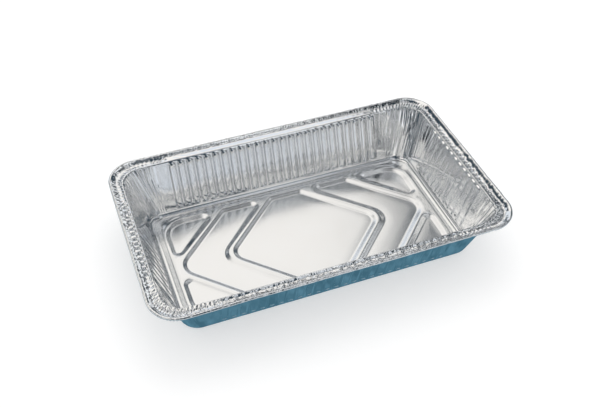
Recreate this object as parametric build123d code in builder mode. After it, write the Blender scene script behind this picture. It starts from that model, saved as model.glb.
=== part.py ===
"""Full-size deep aluminium foil tray, pressed and rolled from one sheet of foil.

Millimetres and degrees.  The origin is the middle of the underside, +X runs along the
length and +Z is up.  The sizes are those of the inside of the walls and the top of the
flange; the foil's thickness lies outside and below them.
"""
from build123d import *
import math
import os

# Overall sizes and the foil
length = 527.0              # over the rolled edge, along X
width = 323.0               # over the rolled edge, along Y
flange_height = 84.0        # top of the flange above the underside
foil = 0.15                 # thickness of the sheet

# Rim: a flat flange, a lip that leans outwards and a rolled edge
flange_width = 10.5         # from the wall to the crease at the lip's foot
crease_radius = 1.0         # bend at the lip's foot
lip_angle = 38.0            # lip above the horizontal
lip_length = 6.5
edge_radius = 2.4           # outside radius of the rolled edge
edge_turn = 290.0           # how far the edge is rolled
rim_corner_radius = 44.0    # plan radius of the rolled edge

# Walls
draft = 17.5                # wall from the vertical
top_corner_radius = 31.0    # plan radius of the opening
floor_corner_radius = 26.0  # plan radius where the wall would meet the underside
heel_radius = 8.0           # from wall to floor, inside the tray
shoulder_radius = 1.5       # from wall to flange, underneath

# Upright ribs pressed into the walls
rib_pitch = 13.65
rib_width = 10.3            # at the rib's foot
rib_depth = 2.0
rib_side_angle = 25.0       # the rib's sides from square to the wall
rib_corner_radius = 3.0
rib_bottom = 8.5            # height of the rib's lower end
rib_top_gap = 3.5           # from the rib's upper end up to the flange
rib_end_margin = 18.0       # least distance from a rib's middle to the corner's bend

# Pattern of raised bars and sunk panels pressed into the floor
bar_height = 2.5
bar_width = 10.3            # between the middles of the bar's two slopes
bar_slope = 5.7             # width of one slope, seen from above
frame_margin = 11.0         # from the floor's edge to the middle of the frame's outer slope
frame_corner_radius = 38.0
centre_edge = 50.0          # length of the centre panel's side along the wall
centre_apex_radius = 20.0
chevron_apex_radius = 24.0
chevron_overrun = 1.5       # how far the chevron's sharp tip would pass the frame
tip_radius = 8.0            # panels' acute corners
bend_radius = 8.0           # panels' blunt corners

# How far a cutting shape runs past the face that it opens
past = 1.0

# Rim, worked out
draft_rad = math.radians(draft)
lip_rad = math.radians(lip_angle)
lip_run = lip_length * math.cos(lip_rad) + edge_radius * (1 + math.sin(lip_rad))
crease_half_x = length / 2 - lip_run
crease_half_y = width / 2 - lip_run
flange_strip = 2 * crease_radius    # strip of flange that is swept with the lip
plate_half_x = crease_half_x - flange_strip
plate_half_y = crease_half_y - flange_strip
plate_corner_radius = rim_corner_radius - lip_run - flange_strip

# Walls, worked out
lean = math.tan(draft_rad)
opening_half_x = crease_half_x - flange_width
opening_half_y = crease_half_y - flange_width
floor_half_x = opening_half_x - flange_height * lean
floor_half_y = opening_half_y - flange_height * lean

# Wall ribs, worked out: a rib in the middle of each wall and as many as fit beside it
rib_span_x = floor_half_x - floor_corner_radius - rib_end_margin
rib_span_y = floor_half_y - floor_corner_radius - rib_end_margin
long_wall_ribs = 1 + 2 * int(rib_span_x / rib_pitch)
short_wall_ribs = 1 + 2 * int(rib_span_y / rib_pitch)
rib_top = flange_height - rib_top_gap
rib_middle = (rib_bottom + rib_top) / 2
rib_length = (rib_top - rib_bottom) / math.cos(draft_rad)
rib_side_rad = math.radians(rib_side_angle)

# Floor pattern, worked out: each reach is where a panel's diagonal would cross the X axis
frame_half_x = floor_half_x - frame_margin
frame_half_y = floor_half_y - frame_margin
panel_half_x = frame_half_x - bar_width
panel_half_y = frame_half_y - bar_width
bar_reach = bar_width * math.sqrt(2)
centre_reach = panel_half_y + centre_edge / 2
chevron_near = centre_reach + bar_reach
chevron_far = panel_half_x + chevron_overrun
corner_reach = chevron_far + bar_reach
chevron_tip_radius = min(tip_radius, (chevron_far - chevron_near) / 3)


def corner_waste(height, out):
    """Outline of what lies outside one rounded corner of the wall at a height."""
    inset = (flange_height - height) * lean - out
    growth = (top_corner_radius - floor_corner_radius) * height / flange_height
    radius = floor_corner_radius + growth + out
    wall_x, wall_y = opening_half_x - inset, opening_half_y - inset
    turn = radius * (1 - math.sqrt(0.5))
    with BuildSketch(Plane.XY.offset(height)) as waste:
        with BuildLine():
            Polyline(
                (wall_x, wall_y - radius), (wall_x + past, wall_y - radius),
                (wall_x + past, wall_y + past), (wall_x - radius, wall_y + past),
                (wall_x - radius, wall_y),
            )
            ThreePointArc(
                (wall_x - radius, wall_y), (wall_x - turn, wall_y - turn),
                (wall_x, wall_y - radius),
            )
        make_face()
    return waste.sketch


def corner_cuts(bottom, top, out):
    """The four cuts that round the walls' corners, each from floor radius to top radius."""
    with BuildPart() as cuts:
        loft([corner_waste(bottom - past, out), corner_waste(top + past, out)], ruled=True)
        mirror(about=Plane.XZ)
        mirror(about=Plane.YZ)
    return cuts.part


def rib(gap):
    """One wall rib, as the face of the foil that lies gap behind the inside has it."""
    side_run = rib_depth * math.tan(rib_side_rad)
    shrink = gap * (math.tan(rib_side_rad) - 1 / math.cos(rib_side_rad))
    with BuildPart() as one_rib:
        with BuildSketch():
            RectangleRounded(
                rib_width + 2 * shrink, rib_length + 2 * shrink, rib_corner_radius + shrink
            )
        extrude(amount=rib_depth + past)
        crown = one_rib.faces().sort_by(Axis.Z)[-1]
        chamfer(crown.edges(), side_run, rib_depth, reference=crown)
    return one_rib.part


def wall_ribs(gap):
    """All the walls' ribs, as the face of the foil that lies gap behind the inside has them."""
    setback = gap + past
    inset = (flange_height - rib_middle) * lean
    out, down = setback * math.cos(draft_rad), setback * math.sin(draft_rad)
    long_wall = Plane(
        origin=(0, opening_half_y - inset + out, rib_middle - down),
        x_dir=(1, 0, 0),
        z_dir=(0, -math.cos(draft_rad), math.sin(draft_rad)),
    )
    short_wall = Plane(
        origin=(opening_half_x - inset + out, 0, rib_middle - down),
        x_dir=(0, -1, 0),
        z_dir=(-math.cos(draft_rad), 0, math.sin(draft_rad)),
    )
    one_rib = rib(gap)
    with BuildPart() as ribs:
        for wall, count in ((long_wall, long_wall_ribs), (short_wall, short_wall_ribs)):
            with Locations(wall):
                with GridLocations(rib_pitch, 0, count, 1):
                    add(one_rib)
        mirror(about=Plane.XZ)
        mirror(about=Plane.YZ)
    return ribs.part


def panel_outlines(grow):
    """The floor's sunk panels, drawn at the middle of their slopes and grown by grow."""
    edge = centre_edge / 2
    near_tip = chevron_near - panel_half_y
    far_tip = chevron_far - panel_half_y
    with BuildSketch() as panels:
        with BuildLine():
            FilletPolyline(
                (centre_reach, 0), (edge, panel_half_y), (-edge, panel_half_y),
                (-centre_reach, 0), (-edge, -panel_half_y), (edge, -panel_half_y),
                radius=[centre_apex_radius, bend_radius, bend_radius] * 2,
                close=True,
            )
        make_face()
        with BuildLine():
            FilletPolyline(
                (chevron_near, 0), (near_tip, panel_half_y), (far_tip, panel_half_y),
                (chevron_far, 0), (far_tip, -panel_half_y), (near_tip, -panel_half_y),
                radius=[
                    chevron_apex_radius, chevron_tip_radius, bend_radius,
                    chevron_apex_radius, bend_radius, chevron_tip_radius,
                ],
                close=True,
            )
        make_face()
        with BuildLine():
            FilletPolyline(
                (panel_half_x, panel_half_y), (corner_reach - panel_half_y, panel_half_y),
                (panel_half_x, corner_reach - panel_half_x),
                radius=[frame_corner_radius - bar_width, tip_radius, tip_radius],
                close=True,
            )
        make_face()
        mirror(about=Plane.XZ)
        mirror(about=Plane.YZ)
        offset(amount=grow)
    return panels.sketch


def floor_bars(foot_height, gap):
    """The floor's raised bars, as the face of the foil that lies gap below the inside has them."""
    slope_rad = math.atan2(bar_slope, bar_height)
    thinner = gap * (1 / math.cos(slope_rad) - math.tan(slope_rad))
    foot = bar_slope / 2 - thinner
    with BuildPart() as panels:
        with BuildSketch(Plane.XY.offset(foot_height - 2 * past)):
            add(panel_outlines(thinner - bar_slope / 2))
        extrude(amount=bar_height + 3 * past)
    with BuildPart() as bars:
        with BuildSketch(Plane.XY.offset(foot_height - past)):
            RectangleRounded(
                2 * (frame_half_x + foot), 2 * (frame_half_y + foot), frame_corner_radius + foot
            )
        extrude(amount=bar_height + past)
        add(panels, mode=Mode.SUBTRACT)
        crown = bars.faces().sort_by(Axis.Z)[-1]
        chamfer(crown.edges(), bar_slope, bar_height, reference=crown)
    return bars.part


def pressed_bowl(bottom, top, gap):
    """Solid bounded by one face of the foil, which lies gap outside the tray's inside."""
    out = gap / math.cos(draft_rad)
    with BuildPart() as bowl:
        for side, half, reach, mode in (
            (Plane.XZ, opening_half_x, width, Mode.ADD),
            (Plane.YZ, opening_half_y, length, Mode.INTERSECT),
        ):
            low = half - (flange_height - bottom) * lean + out
            high = half - (flange_height - top) * lean + out
            with BuildSketch(side):
                with BuildLine():
                    Polyline((-low, bottom), (low, bottom), (high, top), (-high, top), close=True)
                make_face()
            extrude(amount=reach, both=True, mode=mode)
        add(corner_cuts(bottom, top, out), mode=Mode.SUBTRACT)
        fillet(bowl.faces().sort_by(Axis.Z)[0].outer_wire().edges(), heel_radius + gap)
        add(wall_ribs(gap), mode=Mode.SUBTRACT)
        add(floor_bars(foil - gap, gap), mode=Mode.SUBTRACT)
    return bowl.part


# Flange plate, whose outer edge is also the route of the lip
with BuildPart() as plate:
    with BuildSketch(Plane.XY.offset(flange_height - foil)):
        RectangleRounded(2 * plate_half_x, 2 * plate_half_y, plate_corner_radius)
    extrude(amount=foil)

route = plate.faces().sort_by(Axis.Z)[-1].outer_wire()
route_start = route @ 0
outward = Vector(0, 0, 1).cross(route % 0)
if outward.dot(route_start) < 0:
    outward = outward * -1
section_plane = Plane(
    origin=route_start, x_dir=outward, z_dir=outward.cross(Vector(0, 0, 1))
)

# Lip and rolled edge, swept round the plate from a strip of the flange
with BuildPart() as rolled_edge:
    with BuildSketch(section_plane) as edge_section:
        with BuildLine():
            leaning = Vector(math.cos(lip_rad), math.sin(lip_rad))
            lip_foot = Vector(flange_strip, 0)
            lip_top = lip_foot + leaning * lip_length
            FilletPolyline((0, 0), lip_foot, lip_top, radius=crease_radius)
            JernArc(lip_top, leaning, edge_radius, -edge_turn)
            offset(amount=foil, side=Side.LEFT)
        make_face()
    sweep(path=route)

# The tray: everything between the foil's two faces, then the bends at the flange
with BuildPart() as foil_tray:
    add(pressed_bowl(0, flange_height, foil))
    add(plate)
    add(pressed_bowl(foil, flange_height + past, 0), mode=Mode.SUBTRACT)
    level_faces = foil_tray.faces().filter_by(Plane.XY).sort_by(Axis.Z)
    fillet(level_faces[-1].inner_wires()[0].edges(), shoulder_radius + foil)
    level_faces = foil_tray.faces().filter_by(Plane.XY).sort_by(Axis.Z)
    fillet(level_faces[-2].inner_wires()[0].edges(), shoulder_radius)
    add(rolled_edge)

foil_tray.part.label = "foil_tray"
os.makedirs("parts", exist_ok=True)
export_step(foil_tray.part, "parts/foil_tray.step")
print("foil tray:", foil_tray.part.bounding_box())
print("ribs on a long wall", long_wall_ribs, "and on a short wall", short_wall_ribs)
print("volume of foil", foil_tray.part.volume, "mm3")
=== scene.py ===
# %% [markdown]
# A deep foil tray is one sheet of aluminium, about as thick as heavy paper, that a press
# pushes into a die.  The walls get upright ribs and the floor gets raised bars, because
# foil that thin would buckle when the tray is lifted.  The sheet has too much metal for
# the corners, so it gathers into creases there, and the tool that rolls the rim crimps it.
#
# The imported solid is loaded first.  It is the frame: its box gives the overall sizes, and
# the detailed sheet that is modelled here takes its place.

# %% Load the frame
import math
from collections import namedtuple

import bmesh
import bpy
from mathutils import Matrix, Vector, noise


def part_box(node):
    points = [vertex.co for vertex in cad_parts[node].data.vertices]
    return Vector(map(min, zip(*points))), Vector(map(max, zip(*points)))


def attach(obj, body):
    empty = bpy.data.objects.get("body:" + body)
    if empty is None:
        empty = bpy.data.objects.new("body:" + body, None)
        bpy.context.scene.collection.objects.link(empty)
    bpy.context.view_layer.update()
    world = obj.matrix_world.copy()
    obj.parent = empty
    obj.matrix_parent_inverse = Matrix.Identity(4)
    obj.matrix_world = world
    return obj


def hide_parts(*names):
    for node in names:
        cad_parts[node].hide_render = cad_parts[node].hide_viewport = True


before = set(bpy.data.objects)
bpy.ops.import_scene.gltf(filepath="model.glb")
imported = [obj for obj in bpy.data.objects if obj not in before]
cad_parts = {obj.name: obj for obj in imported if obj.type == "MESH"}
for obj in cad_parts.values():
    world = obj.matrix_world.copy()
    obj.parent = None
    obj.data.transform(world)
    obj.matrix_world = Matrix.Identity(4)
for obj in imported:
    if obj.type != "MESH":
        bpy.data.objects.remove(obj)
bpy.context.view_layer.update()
box_low, box_high = (Vector(corner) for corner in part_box("foil_tray"))
print("pieces in the frame:", len(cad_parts))
print("the tray measures", [round(side, 4) for side in box_high - box_low])

# %% [markdown]
# The section through the wall and rim follows from a few sizes.  Everything is measured
# on the foil's inside and top face, because that is the face that is looked at, and a
# Solidify modifier puts the foil's thickness behind it at the end.

# %% Sizes of the section
mm = 0.001
foil = 0.15 * mm
half_x, half_y, top_z = box_high
flange_z = 84.0 * mm
draft = math.radians(17.5)
lean = math.tan(draft)
lip_angle = math.radians(38)
edge_radius, edge_roll = 2.4 * mm, math.radians(290)
lip_length = (top_z - flange_z - edge_radius * (1 - math.cos(lip_angle))) / math.sin(lip_angle)
lip_run = lip_length * math.cos(lip_angle) + edge_radius * (1 + math.sin(lip_angle))
flange_width, crease_gap = 10.5 * mm, 0.3 * mm
heel_radius, shoulder_radius = 8.0 * mm, 1.65 * mm
edge_corner, crease_corner = 44.0 * mm, 44.0 * mm - lip_run
top_corner, floor_corner = 31.0 * mm, 26.0 * mm


def wall_in(height):
    """How far in from the rim's outer edge the wall's inside face is at a height."""
    return lip_run + flange_width + (flange_z - height) * lean


def wall_corner(height):
    """Plan radius of the wall's rounded corner at a height."""
    return floor_corner + (top_corner - floor_corner) * height / flange_z


print("lip", round(lip_length / mm, 2), "mm long, over a run of", round(lip_run / mm, 2), "mm")

# %% [markdown]
# The wall and the rim are one strip that closes on itself, so they are a ring of points,
# extruded row after row from the floor up to the rolled edge.  Where the points of the
# ring stand matters more than how many there are.  Each wall rib gets close points at its
# sides, which keep it crisp.  The corners get an even, close spacing, because they carry
# the creases.  Up on the rim, the points spread out evenly, ready for its crimps.
#
# A column is one point of the ring and all the points above it.  It knows its number, its
# kind of wall, the side of the tray it is on, its place among the ribs and its even place.

# %% Columns round the tray
rib_pitch = 13.65 * mm
long_ribs, short_ribs = 25, 11
rib_stations = [-6.1, -5.4, -4.75, -4.1, -3.4, 3.4, 4.1, 4.75, 5.4, 6.1]
corner_columns = 96
zone_x, zone_y = long_ribs * rib_pitch / 2, short_ribs * rib_pitch / 2
Column = namedtuple("Column", "number kind side_x side_y place even")


def wall_stations(rib_count):
    """Places of a wall's columns: as they stand among the ribs, and evenly spread."""
    count = rib_count * len(rib_stations)
    places = []
    for number in range(count):
        rib, station = divmod(number, len(rib_stations))
        ribbed = (rib - (rib_count - 1) / 2) * rib_pitch + rib_stations[station] * mm
        even = (number - (count - 1) / 2) * rib_pitch / len(rib_stations)
        places.append((ribbed, even))
    return places


def ring_columns():
    """The ring's columns, anticlockwise from the start of the short wall at +X."""
    long_wall, short_wall = wall_stations(long_ribs), wall_stations(short_ribs)
    turn = [((step + 0.5) / corner_columns,) * 2 for step in range(corner_columns)]
    columns = []
    for kind, side_x, side_y, places, order in (
        ("short", 1, 0, short_wall, 1), ("corner", 1, 1, turn, -1),
        ("long", 0, 1, long_wall, -1), ("corner", -1, 1, turn, 1),
        ("short", -1, 0, short_wall, -1), ("corner", -1, -1, turn, -1),
        ("long", 0, -1, long_wall, 1), ("corner", 1, -1, turn, 1),
    ):
        for place, even in places[::order]:
            columns.append(Column(len(columns), kind, side_x, side_y, place, even))
    return columns


columns = ring_columns()
print("columns in the ring:", len(columns))

# %% [markdown]
# A column is a straight line up a wall, or a place on a corner's bend.  In a corner, its
# place runs from 0 at the long wall's last rib to 1 at the short wall's, with the bend
# itself between 0.30 and 0.78.

# %% Where a column crosses an outline
bend_from, bend_to = 0.30, 0.78


def column_spot(column, inset, radius, spread):
    """A column's place in plan, and its outward direction, on an outline inset from the rim."""
    at = column.place + (column.even - column.place) * spread
    out_x, out_y = half_x - inset, half_y - inset
    if column.kind == "long":
        return Vector((at, column.side_y * out_y, 0)), Vector((0, column.side_y, 0))
    if column.kind == "short":
        return Vector((column.side_x * out_x, at, 0)), Vector((column.side_x, 0, 0))
    if at < bend_from:
        reach = out_x - radius - zone_x
        spot, out = Vector((zone_x + reach * at / bend_from, out_y, 0)), Vector((0, 1, 0))
    elif at > bend_to:
        reach = out_y - radius - zone_y
        share = (1 - at) / (1 - bend_to)
        spot, out = Vector((out_x, zone_y + reach * share, 0)), Vector((1, 0, 0))
    else:
        angle = math.pi / 2 * (bend_to - at) / (bend_to - bend_from)
        out = Vector((math.cos(angle), math.sin(angle), 0))
        spot = Vector((out_x - radius, out_y - radius, 0)) + out * radius
    flip = Vector((column.side_x, column.side_y, 1))
    return spot * flip, out * flip


half_way = flange_z / 2
corner_middle = columns[short_ribs * len(rib_stations) + corner_columns // 2]
spot, out = column_spot(corner_middle, wall_in(half_way), wall_corner(half_way), 0)
print("half way up, a corner's middle column stands at", [round(c / mm, 1) for c in spot.xy], "mm")

# %% [markdown]
# The rows are the section: the heel's bend, the wall, the shoulder's small bend, the
# flange, the leaning lip and the rolled edge.  A row says how far in from the rim's outer
# edge it is, its height, its corner's plan radius, how evenly its columns are spread, the
# part it belongs to, and how far along that part it is, from 0 to 1.

# %% Rows of the section
Row = namedtuple("Row", "inset height radius spread part share")
edge_steps = 7


def heel_rows(steps):
    """The bend from the floor to the wall."""
    centre_z = foil + heel_radius
    centre_in = wall_in(centre_z) + heel_radius / math.cos(draft)
    rows = []
    for step in range(steps + 1):
        turn = (math.pi / 2 - draft) * step / steps
        inset = centre_in - heel_radius * math.sin(turn)
        height = centre_z - heel_radius * math.cos(turn)
        radius = wall_corner(height) - (inset - wall_in(height))
        rows.append(Row(inset, height, radius, 0, "heel", step / steps))
    return rows


def wall_rows(heights):
    """The sloping wall, at heights given in millimetres."""
    return [Row(wall_in(h * mm), h * mm, wall_corner(h * mm), 0, "wall", h / 84) for h in heights]


def shoulder_rows(steps):
    """The small bend from the wall out to the flange."""
    centre_z = flange_z - shoulder_radius
    centre_in = wall_in(centre_z) - shoulder_radius / math.cos(draft)
    rows = []
    for step in range(steps + 1):
        share = step / steps
        turn = (math.pi / 2 - draft) * (1 - share)
        inset = centre_in + shoulder_radius * math.sin(turn)
        height = centre_z + shoulder_radius * math.cos(turn)
        radius = top_corner + wall_in(flange_z) - inset
        rows.append(Row(inset, height, radius, 0.3 + 0.4 * share, "shoulder", share))
    return rows


def flange_rows(steps, start):
    """The level flange, from the shoulder out to the lip's foot."""
    finish_in, finish_radius = lip_run + crease_gap, crease_corner - crease_gap
    rows = []
    for step in range(1, steps + 1):
        share = step / steps
        inset = start.inset + share * (finish_in - start.inset)
        radius = start.radius + share * (finish_radius - start.radius)
        rows.append(Row(inset, flange_z, radius, 1, "flange", share))
    return rows


def edge_rows(steps):
    """The leaning lip, and the edge rolled outwards, down and under."""
    rows = []
    for share in (0.06, 0.5):
        inset = lip_run - share * lip_length * math.cos(lip_angle)
        height = flange_z + share * lip_length * math.sin(lip_angle)
        rows.append(Row(inset, height, edge_corner - inset, 1, "lip", share))
    for step in range(steps + 1):
        angle = math.pi / 2 + lip_angle - edge_roll * step / steps
        inset = edge_radius - edge_radius * math.cos(angle)
        height = top_z - edge_radius + edge_radius * math.sin(angle)
        rows.append(Row(inset, height, edge_corner - inset, 1, "edge", step / steps))
    return rows


wall_heights = [7.4, 8.4, 9.2, 10.2, 12, 21, 31, 41, 51, 61, 71, 77, 78.8, 79.8, 80.8]
section = heel_rows(4) + wall_rows(wall_heights) + shoulder_rows(2)
section += flange_rows(5, section[-1]) + edge_rows(edge_steps)
print("rows:", len(section), " faces in the strip:", len(columns) * (len(section) - 1))

# %% [markdown]
# Now the strip itself.  create_circle makes the first ring, and each of its points goes to
# its own column.  Every further row is an extrusion of the last ring's edges, with the new
# points moved to their row.  Later steps ask for the points of some parts by name.

# %% Extrude the strip
sheet = bmesh.new()


def start_ring(count):
    """A closed ring of points, anticlockwise."""
    return list(bmesh.ops.create_circle(sheet, segments=count, radius=half_x)["verts"])


def ring_edges(ring):
    """The edges of a closed ring."""
    return [sheet.edges.get((a, b)) for a, b in zip(ring, ring[1:] + ring[:1])]


def extrude_ring(ring):
    """Extrude a ring's edges, and give the new ring with its points in the same order."""
    made = bmesh.ops.extrude_edge_only(sheet, edges=ring_edges(ring))["geom"]
    fresh = {item for item in made if isinstance(item, bmesh.types.BMVert)}
    above = []
    for vert in ring:
        above.append(next(e.other_vert(vert) for e in vert.link_edges if e.other_vert(vert) in fresh))
    return above


def points_of(*parts):
    """Each point in some parts of the strip, with its row and its column."""
    for ring, row in zip(strip, section):
        if row.part in parts:
            for vert, column in zip(ring, columns):
                yield vert, row, column


strip = [start_ring(len(columns))]
for row in section[1:]:
    strip.append(extrude_ring(strip[-1]))
outward = {}
for ring, row in zip(strip, section):
    for vert, column in zip(ring, columns):
        spot, outward[vert] = column_spot(column, row.inset, row.radius, row.spread)
        vert.co = spot + Vector((0, 0, row.height))
print("strip:", len(sheet.verts), "points,", len(sheet.faces), "faces")

# %% [markdown]
# The floor has seven sunk panels between raised bars: a hexagon in the middle, a chevron
# each side of it and a triangle in each corner.  A bar is only the gap between two
# panels, so the panels are what is drawn.  A panel is a polygon with rounded corners, and
# the same polygon grown a little more is the next loop up the bar's slope.

# %% Outlines of the floor's panels
frame_margin, bar_width, bar_height = 11.0 * mm, 10.3 * mm, 2.5 * mm
floor_in = wall_in(0)
frame_half = Vector((half_x - floor_in - frame_margin, half_y - floor_in - frame_margin))
panel_half = frame_half - Vector((bar_width, bar_width))
smallest_bend, bend_step = 0.4 * mm, math.radians(14)


def rounded_polygon(corners, radii, grow, spacing):
    """Points round a polygon with rounded corners, after its sides are moved out by grow."""
    count = len(corners)
    corners = [Vector(corner) for corner in corners]
    along = [(corners[(i + 1) % count] - corners[i]).normalized() for i in range(count)]
    bends = []
    for i in range(count):
        before, after = along[i - 1], along[i]
        turn = math.atan2(before.x * after.y - before.y * after.x, before.dot(after))
        normal_before, normal_after = Vector((before.y, -before.x)), Vector((after.y, -after.x))
        shift = (normal_before + normal_after) / (1 + normal_before.dot(normal_after))
        corner = corners[i] + shift * grow
        radius = max(radii[i] + (grow if turn > 0 else -grow), smallest_bend)
        reach = radius * math.tan(abs(turn) / 2)
        centre = corner - before * reach - normal_before * math.copysign(radius, turn)
        steps = max(3, round(abs(turn) / bend_step))
        arm = corner - before * reach - centre
        bend = []
        for step in range(steps + 1):
            angle = turn * step / steps
            cos, sin = math.cos(angle), math.sin(angle)
            bend.append(centre + Vector((arm.x * cos - arm.y * sin, arm.x * sin + arm.y * cos)))
        bends.append(bend)
    points = []
    for i in range(count):
        start, finish = bends[i][-1], bends[(i + 1) % count][0]
        side = (corners[(i + 1) % count] - corners[i]).length
        pieces = max(2, round(side / spacing))
        points += bends[i]
        points += [start.lerp(finish, step / pieces) for step in range(1, pieces)]
    return points


def mirrored(corners, side_x, side_y):
    """Corners reflected into another quarter of the floor, still anticlockwise."""
    flipped = [(x * side_x, y * side_y) for x, y in corners]
    return flipped if side_x * side_y > 0 else flipped[::-1]


print("the panels fill", [round(2 * c / mm, 1) for c in panel_half], "mm of the floor")

# %% [markdown]
# All the slanting bars run at 45 degrees, so one corner of each panel settles the rest.
# A panel's place along the tray is where its tip would be on the tray's middle line.  A
# bar takes up its width times the square root of 2 there, because it is crossed aslant.

# %% The seven panels and the frame round them
bar_reach = bar_width * math.sqrt(2)
edge, top = 25.0 * mm, panel_half.y
centre_reach = top + edge
chevron_near = centre_reach + bar_reach
chevron_far = panel_half.x + 1.5 * mm
corner_reach = chevron_far + bar_reach
frame_corner, hexagon_tip, chevron_tip, panel_corner = 38.0 * mm, 20 * mm, 24 * mm, 8 * mm

hexagon = [(centre_reach, 0), (edge, top), (-edge, top), (-centre_reach, 0), (-edge, -top), (edge, -top)]
near_tip, far_tip = chevron_near - top, chevron_far - top
chevron = [
    (chevron_near, 0), (near_tip, -top), (far_tip, -top),
    (chevron_far, 0), (far_tip, top), (near_tip, top),
]
chevron_radii = [chevron_tip, panel_corner, panel_corner] * 2
triangle = [(panel_half.x, top), (corner_reach - top, top), (panel_half.x, corner_reach - panel_half.x)]
triangle_radii = [frame_corner - bar_width, panel_corner, panel_corner]
panels = [(hexagon, [hexagon_tip, panel_corner, panel_corner] * 2)]
for side_x in (1, -1):
    panels.append((mirrored(chevron, side_x, 1), chevron_radii[::side_x]))
    for side_y in (1, -1):
        panels.append((mirrored(triangle, side_x, side_y), triangle_radii[::side_x * side_y]))
frame_corners = [
    (frame_half.x, frame_half.y), (-frame_half.x, frame_half.y),
    (-frame_half.x, -frame_half.y), (frame_half.x, -frame_half.y),
]
print("panels:", len(panels))

# %% [markdown]
# Each slope is a soft S: seven loops, closest where it bends.  Inside its slope a panel
# is not dead flat.  Pressed foil springs up a little in the middle, and that faint dome
# is what bends the reflections near a panel's edges.  The loops are extruded as the wall
# was, and flat triangles fill what is left between them.

# %% Press the floor
slope = [(-3.6, 0.0), (-2.7, 0.09), (-1.35, 0.29), (0, 0.5), (1.35, 0.71), (2.7, 0.91), (3.6, 1.0)]
dome_steps = [2.5, 6.0, 10.5, 15.0]
dome_height, dome_width = 0.42 * mm, 16.0 * mm
outline_spacing = 9 * mm


def dome(depth):
    """Rise of a panel's middle, by the distance in from the foot of its slope."""
    share = min(depth / dome_width, 1)
    return dome_height * (1 - (1 - share) ** 2)


def pressed_loops(corners, radii, levels):
    """Loops of points, extruded one from the next, each a grown copy of one outline."""
    loops = []
    for grow, height in levels:
        outline = rounded_polygon(corners, radii, grow, outline_spacing)
        loops.append(extrude_ring(loops[-1]) if loops else start_ring(len(outline)))
        for vert, point in zip(loops[-1], outline):
            vert.co = Vector((point.x, point.y, height))
    return loops


def fill_between(*rings):
    """Flat triangles between closed rings."""
    edges = [edge for ring in rings for edge in ring_edges(ring)]
    bmesh.ops.triangle_fill(sheet, edges=edges, use_beauty=True, normal=(0, 0, 1))


slope_foot = slope[-1][0]
crown_loops = []
for corners, radii in panels:
    levels = [(grow * mm, foil + rise * bar_height) for grow, rise in reversed(slope)]
    levels += [(-(slope_foot + depth) * mm, foil + dome(depth * mm)) for depth in dome_steps]
    loops = pressed_loops(corners, radii, levels)
    crown_loops.append(loops[0])
    fill_between(loops[-1])
levels = [(-grow * mm, foil + rise * bar_height) for grow, rise in slope]
loops = pressed_loops(frame_corners, [frame_corner] * 4, levels)
fill_between(loops[-1], *crown_loops)
fill_between(loops[0], strip[0])
print("with the floor:", len(sheet.verts), "points,", len(sheet.faces), "faces")

# %% [markdown]
# The wall's ribs come next.  A rib is a long rounded box pushed 2 mm into the tray, so
# each point of the wall asks how deep it lies inside the rib's rounded outline, and that
# depth becomes a smooth rise.  The short walls' ribs are a little wider and steeper, and
# they get shallower towards the rim.

# %% Push the ribs in
rib_depth, rib_bend = 2.0 * mm, 3.8 * mm
rib_bottom, rib_top = 8.0 * mm, 81.0 * mm
rib_middle = (rib_bottom + rib_top) / 2
rib_half_length = (rib_top - rib_bottom) / 2 / math.cos(draft)
rib_sides = {"short": (6.2 * mm, 1.6 * mm), "long": (5.7 * mm, 2.0 * mm)}
short_rib_fade = 0.4


def smooth(share):
    """A soft step from 0 to 1."""
    share = min(max(share, 0), 1)
    return share * share * (3 - 2 * share)


def rib_rise(across, height, half_width, ramp):
    """How far a rib of some half width stands in, at a place across it and at a height."""
    side = abs(across) - (half_width - rib_bend)
    end = abs(height - rib_middle) / math.cos(draft) - (rib_half_length - rib_bend)
    outside = math.hypot(max(side, 0), max(end, 0)) + min(max(side, end), 0)
    return rib_depth * smooth((rib_bend - outside) / ramp)


def push_in(vert, distance):
    """Move a point of the wall square to it, into the tray."""
    out = outward[vert]
    vert.co += Vector((-out.x * math.cos(draft), -out.y * math.cos(draft), math.sin(draft))) * distance


for vert, row, column in points_of("heel", "wall", "shoulder"):
    if column.kind != "corner":
        nearest = round(column.place / rib_pitch) * rib_pitch
        rise = rib_rise(column.place - nearest, row.height, *rib_sides[column.kind])
        if column.kind == "short":
            rise *= 1 - short_rib_fade * smooth((row.height / mm - 40) / 30)
        push_in(vert, rise)
print("ribs:", 2 * (long_ribs + short_ribs))

# %% [markdown]
# The corners are where the flat sheet had too much metal, so there it stands in folds.
# They are close and deep at the top, wander and fork on the way down, and die out near
# the heel.  Each fold is a sharp ridge, and a slow noise shifts it sideways and sets how
# deep it is, so that no two are the same.

# %% Gather the corners
folds, fold_height = 17, 2.4 * mm


def ridge(along):
    """A row of sharp ridges, one to each whole step along: 0 between them, 1 on top."""
    return 1 - abs(2 * (along % 1) - 1)


def fold_depth(corner, place, height_share):
    """How far a corner's folds push the wall in, from 0 to about 1."""
    wander = 0.045 * noise.noise(Vector((place * 4, height_share * 2.5, corner * 9.1)))
    fork = 0.012 * noise.noise(Vector((place * 23, height_share * 5, corner * 5.3)))
    along = (place + wander + fork) * folds
    number = math.floor(along)
    strength = 0.6 + 0.8 * noise.noise(Vector((number * 3.7, height_share * 1.3, corner * 4.1)))
    return ridge(along) * max(strength, 0.2) + 0.16 * ridge(place * 41 + 3 * wander)


def gather(place, height_share):
    """Where in a corner the folds are at their strongest."""
    sides = smooth((place - 0.03) / 0.25) * smooth((0.99 - place) / 0.2)
    return sides * (0.12 + 0.88 * smooth((height_share - 0.05) / 0.85))


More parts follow.
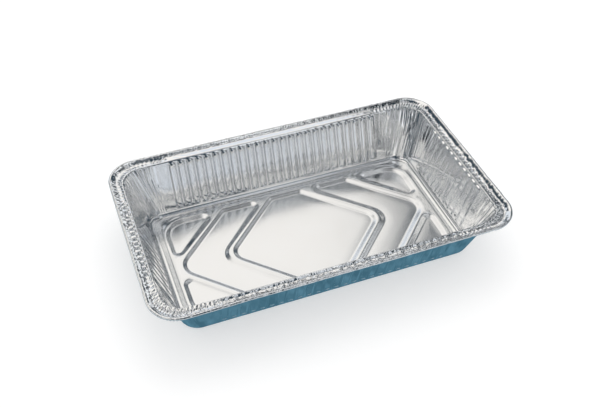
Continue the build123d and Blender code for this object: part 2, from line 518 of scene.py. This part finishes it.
for vert, row, column in points_of("heel", "wall", "shoulder"):
    if column.kind == "corner":
        corner, height_share = column.side_x + 2 * column.side_y, row.height / flange_z
        depth = fold_depth(corner, column.place, height_share) * gather(column.place, height_share)
        push_in(vert, fold_height * depth * (row.share if row.part == "heel" else 1))
print("folds in each corner:", folds)

# %% [markdown]
# Handling leaves thin foil a little uneven all over: long, faint waves and a few shallow
# dents.  The walls take the most of it, towards the corners, and the floor hardly any.

# %% Uneven walls
def unevenness(spot, size, seed):
    """Smooth noise between -1 and 1 with bumps of about the given size."""
    return noise.noise(spot / size + Vector((seed * 7.3, seed * 3.1, seed * 5.7)))


worn_from = 90
for vert, row, column in points_of("wall"):
    height = row.height / mm
    wave = 0.25 * unevenness(vert.co, 60 * mm, 1) + 0.03 * unevenness(vert.co, 14 * mm, 2)
    if column.kind != "long":
        wave += 0.25 * smooth((height - 30) / 40) * unevenness(vert.co, 11 * mm, 3)
    elif vert.co.x / mm > worn_from:
        wave += 0.30 * smooth((vert.co.x / mm - worn_from) / 60) * unevenness(vert.co, 9 * mm, 3)
    push_in(vert, wave * mm * smooth((height - 8) / 25))
print("walls uneven by up to about 0.5 mm")

# %% [markdown]
# The rim is the most worked part.  The roller that turns the edge leaves a ladder of
# dents across the flange at the ends of the tray, flat facets along the long sides, and
# a fine slanting hatch on the rolled edge.  In the corners, where the flange too has
# spare metal, it is pleated.  First the shapes of the dents, each from 0 to about 1.

# %% Shapes of the rim's dents
ladder_pitch, corner_pleats = 9.4 * mm, 26


def ladder(at, share):
    """Drop-shaped dents across the flange, widest next to the wall."""
    drift = 0.45 * noise.noise(Vector((at / (23 * mm), 0.3, 0.7)))
    wave = 0.5 + 0.5 * math.cos(2 * math.pi * (at / ladder_pitch + drift))
    return wave ** (1.2 + 3 * share) * math.sin(math.pi * min(0.15 + 0.85 * share, 1)) ** 0.7


def facets(spot, size, seed):
    """Shallow flat dents that meet in creases."""
    return abs(unevenness(spot, size, seed)) + 0.5 * abs(unevenness(spot, size * 0.55, seed + 1))


def pleat(place, share, corner):
    """Radial pleats, uneven in depth."""
    along = (place + 0.012 * noise.noise(Vector((place * 9, share, corner)))) * corner_pleats
    depth = 0.7 + 0.6 * noise.noise(Vector((math.floor(along) * 2.3, corner * 3.3, 0.5)))
    return max(ridge(along) * depth, 0)


print("dents in a ladder:", round(2 * zone_y / ladder_pitch), " pleats in a corner:", corner_pleats)

# %% [markdown]
# Each part of the rim then takes its own dents.  The numbers in front of the shapes are
# depths in millimetres.  The near long side took the most wear, and the far one hardly
# any.  The rolled edge is pinched towards the middle of its roll.

# %% Crimp the rim
def flange_dent(column, spot, share):
    """How far a point of the flange is pressed down, in millimetres."""
    if column.kind == "corner":
        corner = column.side_x + 2 * column.side_y
        return 2.4 * pleat(column.even, share, corner) + 0.7 * facets(spot, 6 * mm, 4)
    trough = math.sin(math.pi * share ** 0.6)
    if column.kind == "short":
        return 3.3 * ladder(column.even, share) + 1.2 * facets(spot, 6 * mm, 5) + 0.9 * trough
    if column.side_y < 0:
        across = math.sin(math.pi * min(0.2 + 0.7 * share, 1))
        dents = 2.6 * facets(spot, 8 * mm, 6) + 1.6 * facets(spot, 3.5 * mm, 14)
        return dents * across + 1.7 * trough
    return 0.25 * facets(spot, 16 * mm, 7)


def dent_flange(vert, row, column):
    """Press a point of the flange down, less at its two edges."""
    fade = min(4 * row.share, 1) * min(5 * (1 - row.share) + 0.35, 1)
    vert.co.z -= flange_dent(column, vert.co, row.share) * fade * mm


def dent_shoulder(vert, row, column):
    """Nick the bend between the wall and the flange."""
    nick = max(unevenness(vert.co, 5 * mm, 8) - 0.25, 0) * (1.2 if column.kind == "corner" else 0.6)
    vert.co.z -= nick * row.share * mm


def dent_lip(vert, row, column):
    """Dent the leaning lip down and inwards, and hatch its upper part."""
    hatch = 0.55 if column.number % 3 == 1 and row.share > 0.3 else 0
    vert.co.z -= (0.8 * facets(vert.co, 6 * mm, 9) + hatch) * mm
    vert.co -= outward[vert] * 0.5 * facets(vert.co, 6 * mm, 10) * mm


def pinch_edge(vert, row, column):
    """Pinch the rolled edge along a slanting hatch, and here and there more deeply."""
    turn = math.pi / 2 + lip_angle - edge_roll * row.share
    hatch = 1 if (column.number + round(edge_steps * row.share)) % 3 == 0 else 0
    pinch = 0.5 * hatch + 0.8 * max(unevenness(vert.co, 6 * mm, 11), 0)
    arm = outward[vert] * math.cos(turn) + Vector((0, 0, math.sin(turn)))
    vert.co -= arm * pinch * mm


crimps = {"shoulder": dent_shoulder, "flange": dent_flange, "lip": dent_lip, "edge": pinch_edge}
for vert, row, column in points_of(*crimps):
    crimps[row.part](vert, row, column)
print("parts crimped:", ", ".join(crimps))

# %% [markdown]
# A real rim is never quite straight either.  The whole flange is moved in and down by up
# to 0.9 mm in long waves, never outwards, so that the tray keeps its overall size.  The
# shoulder moves less, so that the wall stays as it is.

# %% Long waves in the rim
rim_wave = 0.9 * mm
for vert, row, column in points_of("shoulder", "flange", "lip", "edge"):
    hold = {"shoulder": 0.3, "flange": 0.3 + 0.7 * row.share}.get(row.part, 1)
    wave = 0.5 + 0.5 * unevenness(vert.co, 70 * mm, 12)
    vert.co -= outward[vert] * wave * hold * rim_wave
    vert.co.z -= (0.5 + 0.5 * unevenness(vert.co, 85 * mm, 13)) * hold * rim_wave
print("rim moved in by up to", rim_wave / mm, "mm")

# %% [markdown]
# The sheet becomes a mesh object, and Solidify gives it its thickness on the outside and
# underneath.  Its normals are made to point into the tray first, because the thickness
# goes the other way from them.

# %% Give the sheet its thickness
bmesh.ops.recalc_face_normals(sheet, faces=sheet.faces)
floor_up = sum(face.normal.z for face in sheet.faces if face.calc_center_median().z < 3 * mm)
if floor_up < 0:
    bmesh.ops.reverse_faces(sheet, faces=sheet.faces)
for face in sheet.faces:
    face.smooth = True
mesh = bpy.data.meshes.new("pressed_foil")
sheet.to_mesh(mesh)
sheet.free()
tray = bpy.data.objects.new("pressed_foil", mesh)
bpy.context.collection.objects.link(tray)
thickness = tray.modifiers.new("Foil", "SOLIDIFY")
thickness.thickness = foil
thickness.offset = -1
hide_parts("foil_tray")
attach(tray, "root")
depsgraph = bpy.context.evaluated_depsgraph_get()
finished = tray.evaluated_get(depsgraph).to_mesh()
finished.calc_loop_triangles()
print("triangles in the finished tray:", len(finished.loop_triangles))

# %% [markdown]
# Materials are built from nodes, and the same few kinds come back in all of them: a
# texture's coordinates, a value stretched to another range, and two colours mixed by a
# value.  Each gets a short helper, so that a material reads as a list of its layers.

# %% Helpers for materials
def object_place(tree):
    """The place on the object, in metres."""
    return tree.nodes.new("ShaderNodeTexCoord").outputs["Object"]


def spotted(tree, place, scale, detail, roughness=0.5):
    """Soft noise over a place, with a scale for each axis."""
    mapping = tree.nodes.new("ShaderNodeMapping")
    mapping.inputs["Scale"].default_value = scale
    texture = tree.nodes.new("ShaderNodeTexNoise")
    texture.inputs["Scale"].default_value = 1
    texture.inputs["Detail"].default_value = detail
    texture.inputs["Roughness"].default_value = roughness
    tree.links.new(place, mapping.inputs["Vector"])
    tree.links.new(mapping.outputs["Vector"], texture.inputs["Vector"])
    return texture.outputs["Fac"]


def stretched(tree, value, start, finish, low=0, high=1, curve="LINEAR"):
    """A value that goes from low to high while another goes from start to finish."""
    step = tree.nodes.new("ShaderNodeMapRange")
    step.interpolation_type = curve
    step.inputs["From Min"].default_value, step.inputs["From Max"].default_value = start, finish
    step.inputs["To Min"].default_value, step.inputs["To Max"].default_value = low, high
    tree.links.new(value, step.inputs["Value"])
    return step.outputs["Result"]


def computed(tree, operation, first, second):
    """Two values added, or the larger of them, or the like."""
    node = tree.nodes.new("ShaderNodeMath")
    node.operation = operation
    tree.links.new(first, node.inputs[0])
    tree.links.new(second, node.inputs[1])
    return node.outputs[0]


def mixed(tree, share, first, second):
    """Two colours mixed by a value; each is three numbers or another node's output."""
    mix = tree.nodes.new("ShaderNodeMix")
    mix.data_type = "RGBA"
    tree.links.new(share, mix.inputs["Factor"])
    for name, colour in (("A", first), ("B", second)):
        if isinstance(colour, tuple):
            mix.inputs[name].default_value = (*colour, 1)
        else:
            tree.links.new(colour, mix.inputs[name])
    return mix.outputs["Result"]


print("helpers ready")

# %% [markdown]
# Bare aluminium foil is all reflection, so its look is in its roughness and its tiny
# relief.  Four things matter.  Rolling leaves faint lines along the sheet.  The foil has
# a bloom, a little rougher in patches.  The floor, where the die presses hardest, is more
# satin than the walls.  And handling leaves a fine crinkle, which is too small to model
# but breaks up every highlight.

# %% Rolled aluminium
def embossed(tree, strength, depth, height, below=None):
    """A Bump layer of some depth, in metres, over another layer if there is one."""
    bump = tree.nodes.new("ShaderNodeBump")
    bump.inputs["Strength"].default_value = strength
    bump.inputs["Distance"].default_value = depth
    tree.links.new(height, bump.inputs["Height"])
    if below:
        tree.links.new(below, bump.inputs["Normal"])
    return bump.outputs["Normal"]


def rolled_aluminium():
    """Bright household foil with rolling lines, a patchy bloom and a fine crinkle."""
    material = bpy.data.materials.new("rolled_aluminium")
    material.use_nodes = True
    tree = material.node_tree
    shader = tree.nodes["Principled BSDF"]
    shader.inputs["Metallic"].default_value = 1.0
    shader.inputs["Specular IOR Level"].default_value = 0.5
    place = object_place(tree)
    patches = spotted(tree, place, (28, 28, 28), 3, 0.55)
    lines = spotted(tree, place, (18, 1500, 1500), 2)
    crinkle = spotted(tree, place, (330, 330, 330), 3, 0.6)

    height = tree.nodes.new("ShaderNodeSeparateXYZ")
    tree.links.new(place, height.inputs["Vector"])
    bloom = stretched(tree, patches, 0.3, 0.7, 0.03, 0.07)
    satin = stretched(tree, height.outputs["Z"], 3 * mm, 6 * mm, 0.15, 0.0)
    tree.links.new(computed(tree, "ADD", bloom, satin), shader.inputs["Roughness"])
    tint = mixed(tree, patches, (0.88, 0.89, 0.90), (0.93, 0.93, 0.925))
    tree.links.new(tint, shader.inputs["Base Color"])
    fine = embossed(tree, 0.25, 0.03 * mm, lines)
    tree.links.new(embossed(tree, 0.22, 0.12 * mm, crinkle, fine), shader.inputs["Normal"])
    return material


tray.data.materials.append(rolled_aluminium())
print("finish:", tray.data.materials[0].name)

# %% [markdown]
# The tray stands on a plain pale floor.  The floor catches the tray's shadow, so it can't
# simply glow white.  It gets a little extra light that only the camera and the metal's
# reflections see, and that lifts the paper to white without washing out the shadow.

# %% Floor
def stage_piece(name, shape, material):
    """A piece of the studio, from a bmesh."""
    mesh = bpy.data.meshes.new(name)
    shape.to_mesh(mesh)
    shape.free()
    piece = bpy.data.objects.new(name, mesh)
    bpy.context.collection.objects.link(piece)
    mesh.materials.append(material)
    return piece


def seen_by_camera(tree):
    """A value that is 1 for camera, glossy and transmission rays, and 0 for others."""
    path = tree.nodes.new("ShaderNodeLightPath").outputs
    either = computed(tree, "MAXIMUM", path["Is Camera Ray"], path["Is Glossy Ray"])
    return computed(tree, "MAXIMUM", either, path["Is Transmission Ray"])


def pale_floor():
    """White paper that is a little brighter to the eye than its light alone makes it."""
    material = bpy.data.materials.new("pale_floor")
    material.use_nodes = True
    tree = material.node_tree
    shader = tree.nodes["Principled BSDF"]
    shader.inputs["Base Color"].default_value = (0.6, 0.6, 0.6, 1)
    shader.inputs["Roughness"].default_value = 0.9
    shader.inputs["Specular IOR Level"].default_value = 0.0
    shader.inputs["Emission Color"].default_value = (1, 1, 1, 1)
    lift = stretched(tree, seen_by_camera(tree), 0, 1, 0, 0.46)
    tree.links.new(lift, shader.inputs["Emission Strength"])
    return material


floor_half, floor_z = 12, -0.2 * mm
shape = bmesh.new()
bmesh.ops.create_grid(shape, x_segments=1, y_segments=1, size=floor_half,
                      matrix=Matrix.Translation((0, 0, floor_z)))
stage_piece("floor", shape, pale_floor())
print("floor laid", 2 * floor_half, "m across")

# %% [markdown]
# Polished metal shows whatever is round it, so a studio shoots it inside a tent.  This one
# is a glowing dome that only the metal sees, so its colours are painted reflections.  It is
# dark grey-blue, with soft-edged bright openings in it, and in some openings a noise pattern
# puts dark and bright close together: painted glints, which make creased foil sparkle.  Each
# opening is a cone about a direction.

# %% The tent's openings
def toward(azimuth, elevation):
    """Unit direction at an azimuth from +Y towards +X and an elevation, in degrees."""
    turn, lift = math.radians(azimuth), math.radians(elevation)
    return Vector((math.sin(turn) * math.cos(lift), math.cos(turn) * math.cos(lift), math.sin(lift)))


# The tent's dark glow: a painted dark reflection for the metal.
cloth = (0.045, 0.065, 0.085)
warm, cool, grey = (1.0, 0.975, 0.94), (0.80, 0.84, 0.90), (0.30, 0.33, 0.36)
# Painted glints: the dark and bright spots of the tent's noise pattern.
painted_dark_glint, painted_bright_glint = (0.015, 0.022, 0.03), (0.93, 0.95, 0.97)
tent_openings = [
    # azimuth, elevation, full brightness within, gone beyond, colour or None for painted glints
    (75, 68, 22, 34, None), (-140, 6, 24, 30, None), (-98, 30, 18, 24, None),
    (78, 38, 14, 18, None), (140, 38, 9, 13, None), (150, 10, 18, 24, None),
    (36, 14, 12, 17, None), (9, 45, 13, 22, warm), (-36, 67, 13, 20, warm),
    (-56, 26, 16, 21, warm), (-24, 21, 10, 12, cool), (-2, 23, 11, 13, cool),
    (14, 26, 10, 13, cool), (118, 20, 5, 7, cool), (158, 57, 7, 10, cool),
    (-118, 47, 11, 17, warm), (161, 38, 7, 13, grey),
]
print("openings in the tent:", len(tent_openings))

# %% [markdown]
# The tent's material finds the direction of each point of the dome and compares it with
# the openings' directions: the dot product of two unit vectors is the cosine of the angle
# between them, so a soft step on it is a soft-edged round opening.

# %% The tent
def glowing(name, colour_of):
    """A material that only glows, in the colour that colour_of builds."""
    material = bpy.data.materials.new(name)
    material.use_nodes = True
    tree = material.node_tree
    tree.nodes.clear()
    output = tree.nodes.new("ShaderNodeOutputMaterial")
    glow = tree.nodes.new("ShaderNodeEmission")
    tree.links.new(colour_of(tree), glow.inputs["Color"])
    tree.links.new(glow.outputs["Emission"], output.inputs["Surface"])
    return material


def only_for_metal(piece):
    """Hide a piece of the studio from everything but reflections."""
    piece.visible_camera = False
    piece.visible_diffuse = False
    piece.visible_transmission = False
    piece.visible_volume_scatter = False
    piece.visible_shadow = False


def tent_colour(tree):
    """Dark painted reflection everywhere, with the openings over it one by one."""
    unit = tree.nodes.new("ShaderNodeVectorMath")
    unit.operation = "NORMALIZE"
    tree.links.new(object_place(tree), unit.inputs[0])
    direction = unit.outputs["Vector"]
    # A noise mask that paints dark and bright glints into some openings of the tent.
    glint_mask = stretched(tree, spotted(tree, direction, (6, 6, 6), 1), 0.49, 0.55)
    painted_glints = mixed(tree, glint_mask, painted_dark_glint, painted_bright_glint)
    colour = cloth
    for azimuth, elevation, inner, outer, tint in tent_openings:
        facing = tree.nodes.new("ShaderNodeVectorMath")
        facing.operation = "DOT_PRODUCT"
        facing.inputs[1].default_value = toward(azimuth, elevation)
        tree.links.new(direction, facing.inputs[0])
        full, gone = math.cos(math.radians(inner)), math.cos(math.radians(outer))
        soft = stretched(tree, facing.outputs["Value"], gone, full, curve="SMOOTHSTEP")
        colour = mixed(tree, soft, colour, tint or painted_glints)
    return colour


tent_radius = 3
shape = bmesh.new()
bmesh.ops.create_uvsphere(shape, u_segments=48, v_segments=24, radius=tent_radius)
bmesh.ops.bisect_plane(shape, geom=shape.verts[:] + shape.edges[:] + shape.faces[:],
                       plane_co=(0, 0, 0), plane_no=(0, 0, 1), clear_inner=True)
only_for_metal(stage_piece("tent", shape, glowing("tent_painted_reflections", tent_colour)))
print("tent pitched,", 2 * tent_radius, "m across")

# %% [markdown]
# Under the rim the metal sees the table, not the tent.  A glowing blue sheet that only the
# metal sees lies there, a painted reflection of a blue table in shade.  Painted shade makes it
# deep in colour close to the tray, under the rim, and paler further out, and noise paints
# streaks into it, so that the outside of the walls is blue and their ribs still show.  How far
# a point is beyond the tray's outline is the larger of its distances past the outline along X
# and along Y.

# %% Table sheet
def painted_shade_reflection(tree):
    """Painted reflection: blue with painted streaks, deep with painted shade close to the tray, paler
    further out.
    """
    place = object_place(tree)
    # Painted streaks: noise that varies the reflected blue of the sheet.
    painted_streaks = stretched(tree, spotted(tree, place, (60, 60, 60), 2), 0.35, 0.65)
    blue = mixed(tree, painted_streaks, (0.055, 0.145, 0.205), (0.10, 0.235, 0.32))
    size = tree.nodes.new("ShaderNodeVectorMath")
    size.operation = "ABSOLUTE"
    tree.links.new(place, size.inputs[0])
    beyond = tree.nodes.new("ShaderNodeVectorMath")
    beyond.operation = "SUBTRACT"
    beyond.inputs[1].default_value = (half_x, half_y, 0)
    tree.links.new(size.outputs["Vector"], beyond.inputs[0])
    split = tree.nodes.new("ShaderNodeSeparateXYZ")
    tree.links.new(beyond.outputs["Vector"], split.inputs["Vector"])
    furthest = computed(tree, "MAXIMUM", split.outputs["X"], split.outputs["Y"])
    # Painted shade: deep blue up to 6 mm past the tray's outline, fading to pale by 50 mm.
    paler = stretched(tree, furthest, 6 * mm, 50 * mm, curve="SMOOTHSTEP")
    return mixed(tree, paler, blue, (0.50, 0.56, 0.60))


sheet_radius, sheet_z = 0.9, 0.1 * mm
shape = bmesh.new()
bmesh.ops.create_circle(shape, cap_ends=True, segments=48, radius=sheet_radius,
                        matrix=Matrix.Translation((0, 0, sheet_z)))
only_for_metal(stage_piece("painted_reflection_sheet", shape, glowing("painted_shaded_blue", painted_shade_reflection)))
print("table sheet laid", 2 * sheet_radius, "m across")

# %% [markdown]
# The light itself is plain and soft: an even white surrounding and one large lamp above
# and behind, which gives the tray a faint shadow.  Its reflection is left to the tent.

# %% Light
world = bpy.data.worlds.new("soft_white")
bpy.context.scene.world = world
world.use_nodes = True
tree = world.node_tree
surrounding = tree.nodes["Background"]
surrounding.inputs["Color"].default_value = (1, 1, 1, 1)
level = stretched(tree, seen_by_camera(tree), 0, 1, 0.92, 1.0)
tree.links.new(level, surrounding.inputs["Strength"])


def soft_lamp(name, spot, size, power):
    """A large square lamp that faces the tray."""
    data = bpy.data.lights.new(name, "AREA")
    data.size, data.energy = size, power
    lamp = bpy.data.objects.new(name, data)
    bpy.context.collection.objects.link(lamp)
    lamp.location = spot
    lamp.rotation_euler = (-Vector(spot)).to_track_quat("-Z", "Y").to_euler()
    lamp.visible_glossy = False
    return lamp


lamp = soft_lamp("overhead", spot=toward(20, 62) * 2.0, size=1.6, power=8)
print("lamp at", [round(c, 2) for c in lamp.location])

# %% [markdown]
# The camera looks down at the tray from in front and a little to the left, about 1.2 m
# away, with a lens a bit longer than a normal one.

# %% Camera
camera_data = bpy.data.cameras.new("camera")
camera_data.lens = 48.5
camera_data.shift_x, camera_data.shift_y = 0.0056, -0.0014
camera = bpy.data.objects.new("camera", camera_data)
bpy.context.collection.objects.link(camera)
aim, distance = Vector((-0.0127, -0.0179, 0.0869)), 1.1708
back = Vector((-0.2560, -0.6785, 0.6886)).normalized()
camera.location = aim + back * distance
camera.rotation_euler = back.to_track_quat("Z", "Y").to_euler()
bpy.context.scene.camera = camera
bpy.context.scene.view_settings.view_transform = "Standard"
print("camera at", [round(c, 3) for c in camera.location])
